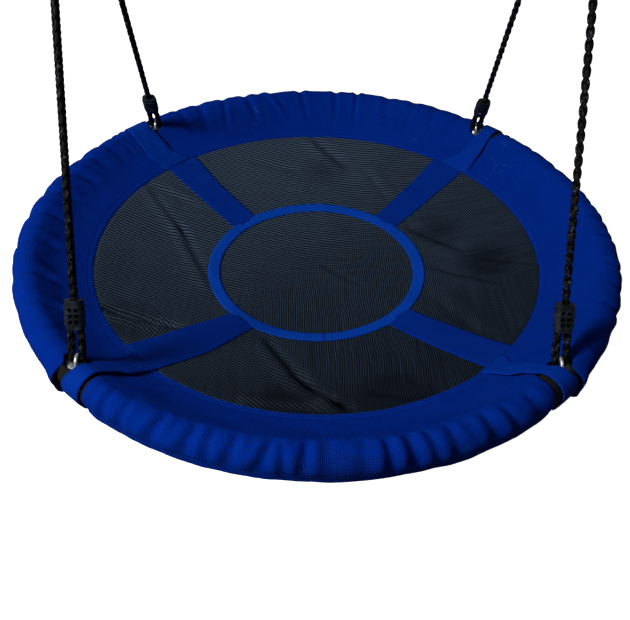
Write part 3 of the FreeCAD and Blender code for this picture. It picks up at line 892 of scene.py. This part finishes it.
def make_foam():
    """Black foam sleeves, dented round the rope eyes, and sunk where a cover lies over them."""
    section = belt([(0.4785, -0.0165, 0.0065), (RING_R, 0.0, FOAM_R - 0.0004)], 0.0035)
    columns = 190
    for name, (side, end, angle, _) in CORNERS.items():
        eye = Vector((side * EYE_XY, end * EYE_XY, SEAT_Z + FOAM_R))
        verts = []
        for _, r, z, out_r, out_z in section:
            for j in range(columns + 1):
                around = math.radians(angle - 45 + 90 * j / columns)
                spot = rim_spot(around, r, z)
                flat = Vector((spot.x - eye.x, spot.y - eye.y)).length
                dent = FOAM_DENT * smooth((0.023 - flat) / 0.011) * smooth((z - 0.002) / 0.012)
                away = abs(2 * j / columns - 1) * math.pi / 4 * RING_R
                inside_cover = FOAM_SUNK * smooth((away - 0.070) / 0.02)
                sunk = max(inside_cover, FOAM_SUNK_BELOW * smooth((-0.010 - z) / 0.012))
                rough = 0.0005 * noise.noise(spot * 60) + 0.0003 * noise.noise(spot * 170) - sunk
                out = Vector((out_r * math.cos(around), out_r * math.sin(around), out_z))
                verts.append(spot + out * rough - Vector((0, 0, dent)))
        foam = make_object("foam_sleeve_" + name, verts, grid_faces(len(section), columns + 1))
        weld_seam(foam)
        thicken(foam, FOAM_T, even=False)
        paint(foam, FOAM)
        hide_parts("foam_" + name)
        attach(foam, "seat")


FLAP_CIRCLES = [(0.3816, -0.0362, 0.0040), (0.4832, -0.0180, 0.0120), (RING_R, 0.0, PAD_R + 0.0012)]
FLAP_SECTION = belt(FLAP_CIRCLES, 0.0030)
FLAP_STOP = 0.216


def flap_spot(name, row, across, lift=0.0):
    """A spot on a flap, its outward direction and its UV, from a section row and a share of its width."""
    _, _, angle, hand = CORNERS[name]
    t, r, z, out_r, out_z = row
    back, front = ramp(t * 1000, FLAP_BACK[name]), ramp(t * 1000, FLAP_FRONT[name])
    h = (back + (front - back) * across) / 1000
    around = math.radians(angle) + hand * h / RING_R
    crown = 0.0009 * (1 - (2 * across - 1) ** 4)
    wave = 0.0009 * noise.noise(Vector((h * 60, t * 28, angle)))
    curl = 0.0012 * bump((1 - across) / 0.12) * smooth((t - 0.04) / 0.03) * smooth((0.12 - t) / 0.03)
    tail = -0.0042 * smooth((t - 0.184) / 0.024)
    up = Vector((out_r * math.cos(around), out_r * math.sin(around), out_z))
    return rim_spot(around, r, z) + up * (crown + wave + curl + tail + lift), up, (t, h)


def make_flaps():
    """The straps' ends: each lies over the cover's band, bends over the foam and goes round under the hem."""
    rows = [row for row in FLAP_SECTION if 0.001 < row[0] < FLAP_STOP]
    columns = 18
    for name, (_, _, _, hand) in CORNERS.items():
        spots = [flap_spot(name, row, j / columns) for row in rows for j in range(columns + 1)]
        flap = spots_object("flap_of_strap_" + name, spots, len(rows), columns + 1)
        if hand > 0:
            flap.data.flip_normals()
        thicken(flap, FLAP_T)
        paint(flap, FLAP)
        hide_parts("flap_" + name)
        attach(flap, "seat")


# ---------------------------------------------------------------- the seat: mesh, webbing ring and straps

NET_CELLS = 150
NET_T = 0.0012
RING_IN = 0.1724
RING_OUT = 0.1929
RING_MIDDLE = 0.1827
RING_JOIN = -91.5
RING_OVERLAP = 6
RING_OVERLAP_RISE = 0.0004
TAPE_T = 0.0013
STRAP_T = 0.0012
STRAP_START = 0.187

# folds in the mesh: start, end, half width, depth, and which side stands up (metres)
NET_FOLDS = [
    ((-0.072, -0.205), (-0.020, -0.300), 0.009, 0.0055, 1),
    ((-0.020, -0.300), (0.020, -0.345), 0.009, 0.0085, 1),
    ((0.020, -0.345), (0.058, -0.384), 0.010, 0.0090, 1),
    ((0.094, -0.330), (0.154, -0.349), 0.010, 0.0045, 1),
    ((-0.330, 0.192), (-0.254, 0.165), 0.008, 0.0030, -1),
    ((-0.315, 0.170), (-0.250, 0.085), 0.006, 0.0030, 1),
    ((-0.250, 0.085), (-0.183, -0.050), 0.007, 0.0036, 1),
    ((0.020, 0.012), (0.055, -0.019), 0.006, 0.0022, 1),
    ((-0.016, -0.105), (0.038, -0.086), 0.009, 0.0022, -1),
    ((-0.012, 0.384), (0.051, 0.313), 0.009, 0.0045, 1),
    ((0.185, 0.110), (0.255, 0.045), 0.011, 0.0055, 1),
    ((0.225, -0.015), (0.290, -0.060), 0.008, 0.0045, 1),
    ((0.315, -0.012), (0.378, -0.045), 0.007, 0.0060, 1),
    ((0.207, -0.101), (0.253, -0.196), 0.010, 0.0035, -1),
    ((-0.335, -0.170), (-0.235, -0.180), 0.009, 0.0095, 1),
    ((-0.110, -0.366), (0.020, -0.376), 0.010, 0.0055, -1),
    ((-0.120, 0.300), (-0.060, 0.290), 0.009, 0.0025, 1),
    ((0.110, 0.270), (0.140, 0.210), 0.008, 0.0025, -1),
]


def net_fold(x, y, start, end, width, depth, side):
    """A valley along a line, with a low ridge on one side of it."""
    ax, ay = start
    bx, by = end
    length = math.hypot(bx - ax, by - ay)
    ux, uy = (bx - ax) / length, (by - ay) / length
    along = (x - ax) * ux + (y - ay) * uy
    off = ((x - ax) * uy - (y - ay) * ux) * side
    past = max(-along, along - length, 0)
    fade = bump(past / 0.022)
    return fade * depth * (0.75 * bump((off - 1.8 * width) / (1.3 * width)) - bump(off / width))


# strap edges, mm towards the flap's side of the corner line, at three distances from the middle
STRAPS = {
    "front_left": ((-11, 42), (-20, 51), (-24, 47)),
    "front_right": ((-28, 26), (-30, 30), (-30, 34)),
    "rear_left": ((-23, 30), (-25, 33), (-31, 37)),
    "rear_right": ((-26, 24), (-30, 28), (-34, 36)),
}
STRAP_STOPS = (188, 285, 384)


def strap_edges(name, radius):
    """Where a strap's back and front edges are beside the corner line, at a distance from the middle."""
    backs, fronts = zip(*STRAPS[name])
    low, high = (ramp(radius * 1000, list(zip(STRAP_STOPS, edges))) for edges in (backs, fronts))
    return low / 1000, high / 1000


def strap_hold(x, y):
    """How firmly the straps hold the mesh flat: 1 under a strap, fading to 0 beside it."""
    firm = 0.0
    for name, (side, end, _, hand) in CORNERS.items():
        along = (side * x + end * y) * math.sqrt(0.5)
        if along > 0.15:
            across = (side * y - end * x) * hand * math.sqrt(0.5)
            low, high = strap_edges(name, along)
            past = max(low - across, across - high, STRAP_START - along, 0.0)
            firm = max(firm, bump(past / 0.009))
    return firm


def net_height(x, y):
    """Height of the mesh's top face."""
    radius = min(math.hypot(x, y), DISH_R)
    dish = DISH_EDGE_Z - DISH_DEPTH + DISH_SPHERE - math.sqrt(DISH_SPHERE ** 2 - radius ** 2)
    held = smooth((DISH_R - radius) / 0.022)
    folds = sum(net_fold(x, y, *fold) for fold in NET_FOLDS)
    folds *= 0.25 + 0.75 * held
    webbing = bump((radius - RING_MIDDLE) / 0.022)
    soft = 0.0016 * noise.noise(Vector((x * 7, y * 7, 3)))
    soft += 0.0006 * noise.noise(Vector((x * 21, y * 21, 5)))
    return dish + folds * (1 - 0.7 * webbing) * (1 - 0.9 * strap_hold(x, y)) + soft * held


def on_net(x, y, lift):
    """A spot a little above the mesh, measured square to it."""
    step = 0.002
    slope_x = (net_height(x + step, y) - net_height(x - step, y)) / (2 * step)
    slope_y = (net_height(x, y + step) - net_height(x, y - step)) / (2 * step)
    normal = Vector((-slope_x, -slope_y, 1)).normalized()
    return Vector((x, y, net_height(x, y))) + normal * lift


def square_to_disc(a, b):
    """Map a square onto a disc, keeping the cells nearly even."""
    if a == 0 and b == 0:
        return 0.0, 0.0
    if abs(a) > abs(b):
        radius, angle = a, math.pi / 4 * (b / a)
    else:
        radius, angle = b, math.pi / 2 - math.pi / 4 * (a / b)
    return radius * math.cos(angle), radius * math.sin(angle)


def make_net():
    """The dished mesh: one round of cloth, hanging under its own weight and creased where it was folded."""
    verts, uvs = [], []
    reach = DISH_R + 0.004
    for i in range(NET_CELLS + 1):
        for j in range(NET_CELLS + 1):
            x, y = square_to_disc(2 * i / NET_CELLS - 1, 2 * j / NET_CELLS - 1)
            x, y = x * reach, y * reach
            verts.append((x, y, net_height(x, y)))
            uvs.append((x, y))
    net = make_object("seat_net", verts, grid_faces(NET_CELLS + 1, NET_CELLS + 1), uvs)
    thicken(net, NET_T)
    paint(net, NET)
    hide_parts("seat_mesh")
    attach(net, "seat")


def make_centre_ring():
    """The round of webbing sewn on the mesh, with its ends overlapped at the front."""
    verts, uvs = [], []
    columns = 8
    count = 360
    for i in range(count + RING_OVERLAP):
        turn = math.radians(RING_JOIN + 360 * i / count)
        over = smooth((i - count + 2) / RING_OVERLAP) * RING_OVERLAP_RISE
        for j in range(columns + 1):
            across = j / columns
            radius = RING_IN + (RING_OUT - RING_IN) * across
            crown = 0.0012 + 0.0005 * (1 - (2 * across - 1) ** 6) + over
            crown += 0.0002 * noise.noise(Vector((i / 6, across * 4, 2)))
            verts.append(on_net(radius * math.cos(turn), radius * math.sin(turn), crown))
            uvs.append((math.radians(i) * RING_MIDDLE, radius))
    ring = make_object("webbing_ring", verts, grid_faces(count + RING_OVERLAP, columns + 1), uvs)
    ring.data.flip_normals()
    thicken(ring, TAPE_T)
    paint(ring, TAPE)
    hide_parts("centre_ring")
    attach(ring, "seat")


def strap_spot(name, radius, across, lift):
    """A spot on a strap: so far out from the middle, and so far from its back edge to its front edge."""
    _, _, angle, hand = CORNERS[name]
    low, high = strap_edges(name, radius)
    h = low + (high - low) * across
    around = math.radians(angle)
    out = Vector((math.cos(around), math.sin(around)))
    side = Vector((-out.y, out.x)) * hand
    far = math.sqrt(max(0, radius ** 2 - (h * 0.35) ** 2))
    x, y = out * far + side * h
    return on_net(x, y, lift)


def make_straps():
    """Four double straps from the webbing ring out to the rim, a little crowned across."""
    rows, columns = 54, 20
    for name, (_, _, _, hand) in CORNERS.items():
        verts, uvs = [], []
        for i in range(rows + 1):
            radius = STRAP_START + (DISH_R + 0.003 - STRAP_START) * i / rows
            for j in range(columns + 1):
                across = j / columns
                edge = 1 - (2 * across - 1) ** 8
                wave = 0.0006 * noise.noise(Vector((radius * 30, across * 3, ord(name[-1]))))
                verts.append(strap_spot(name, radius, across, 0.0013 + 0.0005 * edge + wave))
                low, high = strap_edges(name, radius)
                uvs.append((radius, low + (high - low) * across))
        strap = make_object("strap_tape_" + name, verts, grid_faces(rows + 1, columns + 1), uvs)
        if hand < 0:
            strap.data.flip_normals()
        thicken(strap, STRAP_T)
        paint(strap, SHADED_STRAP)
        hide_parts("strap_" + name)
        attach(strap, "seat")


# ---------------------------------------------------------------- stitches

STITCH = 0.0034
STITCH_GAP = 0.0017
THREAD_R = 0.00034
STITCH_LIFT = 0.0019


def sew(verts, faces, line):
    """Lay short threads along a line of (point, normal)."""
    reached = [0.0]
    for (a, _), (b, _) in zip(line, line[1:]):
        reached.append(reached[-1] + (b - a).length)

    def spot(distance, lift):
        k = min(max(bisect.bisect(reached, distance) - 1, 0), len(line) - 2)
        share = (distance - reached[k]) / max(reached[k + 1] - reached[k], 1e-9)
        up = line[k][1].lerp(line[k + 1][1], share).normalized()
        return line[k][0].lerp(line[k + 1][0], share) + up * lift, up

    for i in range(int(reached[-1] / (STITCH + STITCH_GAP))):
        start = i * (STITCH + STITCH_GAP)
        ups_and_downs = ((0.0, -1.0), (0.2, 0.7), (0.8, 0.7), (1.0, -1.0))
        spots = [spot(start + share * STITCH, rise * THREAD_R) for share, rise in ups_and_downs]
        add_part(verts, faces, *tube_mesh([p for p, _ in spots], [up for _, up in spots], THREAD_R, 5))


def ring_rows():
    for radius in (RING_IN + 0.0024, RING_OUT - 0.0024):
        line = []
        for i in range(361):
            around = math.radians(i)
            x, y = radius * math.cos(around), radius * math.sin(around)
            line.append((on_net(x, y, STITCH_LIFT), Vector((0, 0, 1))))
        yield line


def strap_rows():
    for name in CORNERS:
        for across in (0.08, 0.92):
            radii = [0.194 + (0.375 - 0.194) * i / 40 for i in range(41)]
            yield [(strap_spot(name, radius, across, STITCH_LIFT), Vector((0, 0, 1))) for radius in radii]


def flap_rows():
    """Two long rows near a flap's edges, and a crossed box where it is sewn to the rim."""
    for name in CORNERS:
        rows = [row for row in FLAP_SECTION if 0.003 < row[0] < 0.150]
        for across in (0.07, 0.93):
            yield [flap_spot(name, row, across, 0.0003)[:2] for row in rows]
        near, far = 2, 10
        for (first, start), (last, stop) in (
            ((near, 0.07), (near, 0.93)),
            ((far, 0.07), (far, 0.93)),
            ((near, 0.07), (far, 0.93)),
            ((near, 0.93), (far, 0.07)),
        ):
            line = []
            for i in range(25):
                row = FLAP_SECTION[round(first + (last - first) * i / 24)]
                line.append(flap_spot(name, row, start + (stop - start) * i / 24, 0.0003)[:2])
            yield line


def cover_rows():
    """The lines of stitching along the mesh edge and above the hem of every cover."""
    for cover in all_covers():
        for place in (5.0, 8.5, 15.0, HEM_SEAM - 3.0):
            row = min(COVER_SECTION, key=lambda row: abs(row[0] * 1000 - place))
            yield [cover_spot(cover, row, i / 300, 0.0001)[:2] for i in range(301)]


def make_stitching():
    verts, faces = [], []
    for line in (*ring_rows(), *strap_rows(), *flap_rows(), *cover_rows()):
        sew(verts, faces, line)
    piece = make_object("stitching", verts, faces)
    paint(piece, THREAD)
    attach(piece, "seat")


# ---------------------------------------------------------------- light, floor

def area_light(name, place, aim, size, power):
    data = bpy.data.lights.new(name, "AREA")
    data.shape = "DISK"
    data.size = size
    data.energy = power
    light = bpy.data.objects.new(name, data)
    light.location = place
    light.rotation_euler = (Vector(aim) - Vector(place)).to_track_quat("-Z", "Y").to_euler()
    scene.collection.objects.link(light)


def make_floor():
    """A plain pale floor, well below the hanging swing, that curves up into a backdrop all round."""
    n = Nodes("studio_floor")
    dust = n.noise(n.place(), 1.3, 3.0, 0.5)
    n.set(Base_Color=n.mix(dust, (0.90, 0.90, 0.90, 1), (0.93, 0.93, 0.93, 1)), Roughness=0.9)
    n.set(Emission_Color=(1, 1, 1, 1), Emission_Strength=1.0, Specular_IOR_Level=0.1)
    profile = [(0.0, 0.0), (6.0, 0.0), (6.9, 0.15), (7.6, 0.6), (8.0, 1.3), (8.2, 2.4), (8.2, 9.0)]
    around = 72
    verts = []
    for radius, height in profile:
        for i in range(around + 1):
            turn = 2 * math.pi * i / around
            verts.append((radius * math.cos(turn), radius * math.sin(turn), height))
    floor = make_object("studio_floor", verts, grid_faces(len(profile), around + 1))
    floor.location = (0, 0, SEAT_Z - 0.75)
    floor.data.materials.append(n.material)
    floor.visible_diffuse = False
    floor.visible_glossy = False


def make_light():
    world = bpy.data.worlds.new("studio")
    world.use_nodes = True
    sky = world.node_tree.nodes["Background"].inputs
    sky["Color"].default_value = (0.95, 0.97, 1.0, 1)
    sky["Strength"].default_value = 0.085
    scene.world = world
    middle = (0, -0.1, SEAT_Z)
    area_light("key", (-2.25, -1.25, SEAT_Z + 2.30), middle, size=0.9, power=116)
    area_light("back", (-0.6, 3.0, SEAT_Z + 1.6), middle, size=1.8, power=2)


# ---------------------------------------------------------------- steel and plastic nodes of the model

ZINC_NODES = ("rope_eye_", "top_ring_", "snap_hook_", "hook_gate_", "joint_screws", "gate_rivets")
PLASTIC_NODES = ("adjuster_", "eye_sleeve_")


def dress_nodes():
    for name in nodes:
        if name.startswith(ZINC_NODES):
            paint_node(name, ZINC)
        elif name.startswith("frame_arc_"):
            paint_node(name, TUBE)
        elif name.startswith(PLASTIC_NODES):
            node = paint_node(name, PLASTIC)
            edge = node.modifiers.new("soft_edges", "BEVEL")
            edge.width = 0.0009
            edge.segments = 3
            edge.limit_method = "ANGLE"
            edge.angle_limit = math.radians(40)


make_camera()
make_ropes()
make_covers()
make_foam()
make_flaps()
make_net()
make_centre_ring()
make_straps()
make_stitching()
dress_nodes()
make_floor()
make_light()
scene.view_settings.view_transform = "Standard"
